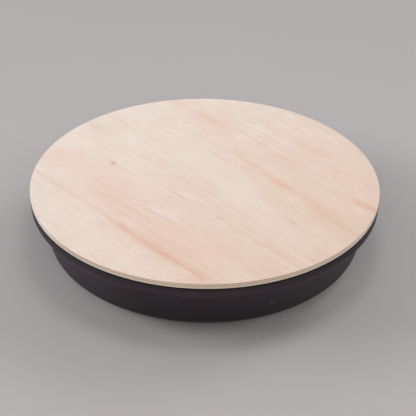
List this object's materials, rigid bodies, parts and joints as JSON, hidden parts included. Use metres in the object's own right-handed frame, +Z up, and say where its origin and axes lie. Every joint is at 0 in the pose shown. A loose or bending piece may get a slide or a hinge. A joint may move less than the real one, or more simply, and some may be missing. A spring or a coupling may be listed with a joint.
{
  "type": "balance board",
  "caption": "Round balance board: plywood deck screwed to a black dish with a shallow rounded bottom and a rubber floor pad; rocks and turns under a standing person.",
  "frame": {"origin": "on the floor, under the middle of the board", "axes": "+Z up through the deck; +X along the lengthwise rib; the deck is round, so any side can be the front"},
  "size_m": [0.8, 0.8, 0.165],
  "materials": {
    "face_veneer": "sanded pale pinkish veneer with a thin matt oil",
    "cross_ply": "bare edge of plywood",
    "core_ply": "bare edge of plywood",
    "back_veneer": "bare plywood veneer",
    "seal_foam": "matt closed-cell foam",
    "rim_black": "matt black stained and sealed wood",
    "dish_black": "matt black moulded plastic with a fine texture",
    "black_steel": "black zinc plated",
    "zinc_steel": "zinc plated",
    "rib_ply": "bare plywood",
    "strip_rubber": "soft matt rubber",
    "pad_rubber": "matt grip rubber"
  },
  "bodies": {
    "root": {"deck_face_veneer": "face_veneer", "deck_upper_cross_ply": "cross_ply", "deck_core_ply": "core_ply", "deck_lower_cross_ply": "cross_ply", "deck_back_veneer": "back_veneer", "rim_seal": "seal_foam", "rim_ring": "rim_black", "ring_screws": "zinc_steel", "dish_shell": "dish_black", "flange_screws": "black_steel", "flange_washers": "zinc_steel", "rib_lengthwise": "rib_ply", "rib_crosswise": "rib_ply", "rib_brackets": "zinc_steel", "bracket_deck_screws": "zinc_steel", "bracket_rib_screws": "zinc_steel", "rib_strips": "strip_rubber", "floor_pad": "pad_rubber"}
  },
  "joints": []
}
